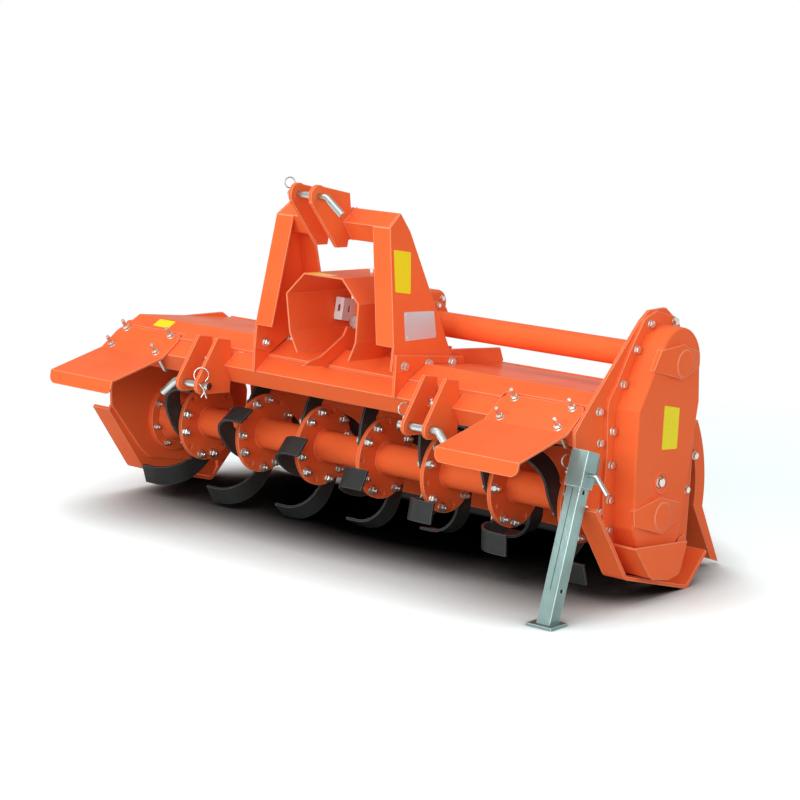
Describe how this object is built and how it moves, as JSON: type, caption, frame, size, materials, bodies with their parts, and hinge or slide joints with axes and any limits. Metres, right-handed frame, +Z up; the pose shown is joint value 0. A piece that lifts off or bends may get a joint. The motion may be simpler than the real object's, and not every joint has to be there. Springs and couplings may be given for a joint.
{
  "type": "rotavator",
  "caption": "Tractor-mounted rotavator: a bladed rotor under a deck, with a three-point mast, side gear case, hinged tail board and parking stand.",
  "frame": {"origin": "centre of the bounding box of the machine as it stands parked, on the floor", "axes": "+X along the rotor towards the side gear case, +Y to the rear, +Z up; the machine is stored parked, pitched back 10 degrees on its skids and stand"},
  "size_m": [1.8492, 0.9566, 1.0117],
  "materials": {
    "orange_paint": "gloss",
    "blade_black": "satin",
    "zinc": "satin",
    "bright_steel": "satin"
  },
  "bodies": {
    "frame": {"case_guard": "orange_paint", "deck": "orange_paint", "drive_tube": "orange_paint", "front_beam": "orange_paint", "gear_case": "orange_paint", "gearbox": "orange_paint", "left_bearing_housing": "orange_paint", "left_deck_rib": "orange_paint", "left_guard_plate": "orange_paint", "left_hitch_clevis": "orange_paint", "left_hitch_pin": "bright_steel", "left_mast_bracket": "orange_paint", "left_mast_leg": "orange_paint", "left_side_plate": "orange_paint", "left_skid": "orange_paint", "left_top_ear": "orange_paint", "mast_head_tube": "orange_paint", "pto_guard": "orange_paint", "right_bearing_housing": "orange_paint", "right_deck_rib": "orange_paint", "right_guard_plate": "orange_paint", "right_hitch_clevis": "orange_paint", "right_hitch_pin": "bright_steel", "right_mast_bracket": "orange_paint", "right_mast_leg": "orange_paint", "right_side_plate": "orange_paint", "right_skid": "orange_paint", "right_top_ear": "orange_paint", "stand_bracket": "zinc", "stand_pin": "bright_steel", "tail_hinge_rod": "bright_steel", "top_link_pin": "bright_steel"},
    "rotor": {"rotor_shaft": "orange_paint", "blades_1": "blade_black", "blades_2": "blade_black", "blades_3": "blade_black", "blades_4": "blade_black", "blades_5": "blade_black", "blades_6": "blade_black", "blades_7": "blade_black"},
    "input_shaft": {"input_shaft": "bright_steel"},
    "tail_board": {"tail_board": "orange_paint"},
    "stand_leg": {"stand_leg": "zinc"}
  },
  "joints": [
    {"name": "rotor_spin", "type": "hinge", "parent": "frame", "child": "rotor", "pos_m": [-0.02462, 0.01283, 0.22873], "axis": [1, 0, 0], "continuous": true},
    {"name": "input_shaft_spin", "type": "hinge", "parent": "frame", "child": "input_shaft", "pos_m": [-0.02462, -0.13638, 0.62603], "axis": [0, -0.9994, 0.0349], "continuous": true},
    {"name": "tail_board_hinge", "type": "hinge", "parent": "frame", "child": "tail_board", "pos_m": [-0.02462, 0.24613, 0.49222], "axis": [1, 0, 0], "range_deg": [0, 60]},
    {"name": "stand_slide", "type": "slide", "parent": "frame", "child": "stand_leg", "axis": [0, 0.2924, 0.9563], "range_m": [0, 0.293]}
  ],
  "couplings": [
    {"joint": "input_shaft_spin", "follows": "rotor_spin", "ratio": 2.7}
  ]
}
